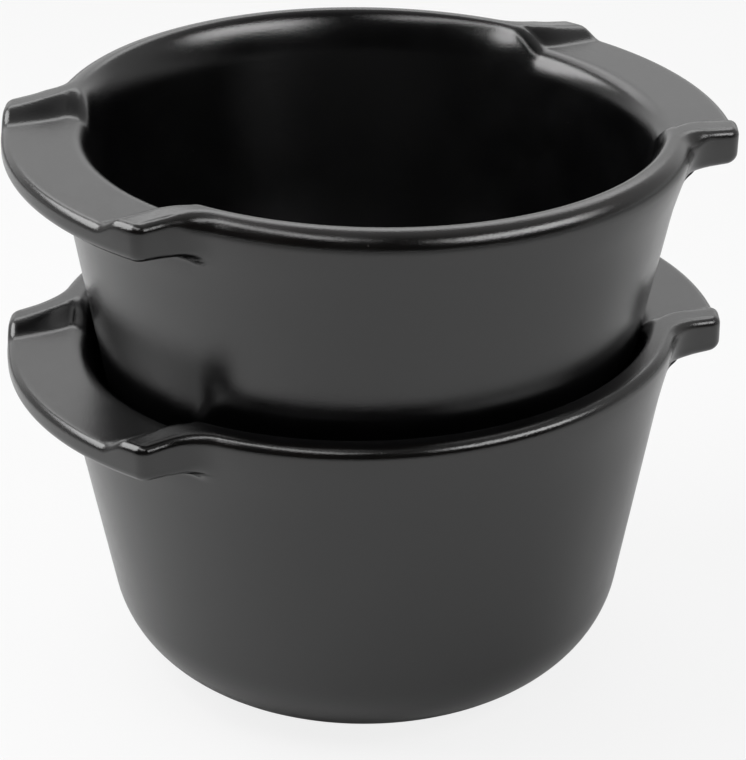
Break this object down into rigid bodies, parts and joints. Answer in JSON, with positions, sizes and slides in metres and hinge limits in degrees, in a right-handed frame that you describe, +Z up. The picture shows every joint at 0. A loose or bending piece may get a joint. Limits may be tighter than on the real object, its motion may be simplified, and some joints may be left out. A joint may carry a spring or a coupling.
{
  "type": "ramekin",
  "caption": "Nested stoneware ramekins with flat lug handles, rounded rims that run out along the lugs as ridges, curved bases and narrow foot rings, in satin black glaze.",
  "frame": {"origin": "middle of the lower ramekin's foot ring, on the surface that the pair stands on", "axes": "+X along the handles, +Y across them, +Z up out of the bowls"},
  "size_m": [0.1311, 0.1145, 0.1084],
  "materials": {
    "black_glaze": "satin black glaze over stoneware, bare clay on the foot ring"
  },
  "bodies": {
    "lower_ramekin": {"lower_ramekin": "black_glaze"},
    "upper_ramekin": {"upper_ramekin": "black_glaze"}
  },
  "joints": [
    {"name": "lift", "type": "slide", "parent": "lower_ramekin", "child": "upper_ramekin", "axis": [0, 0, 1], "range_m": [0, 0.06]}
  ]
}
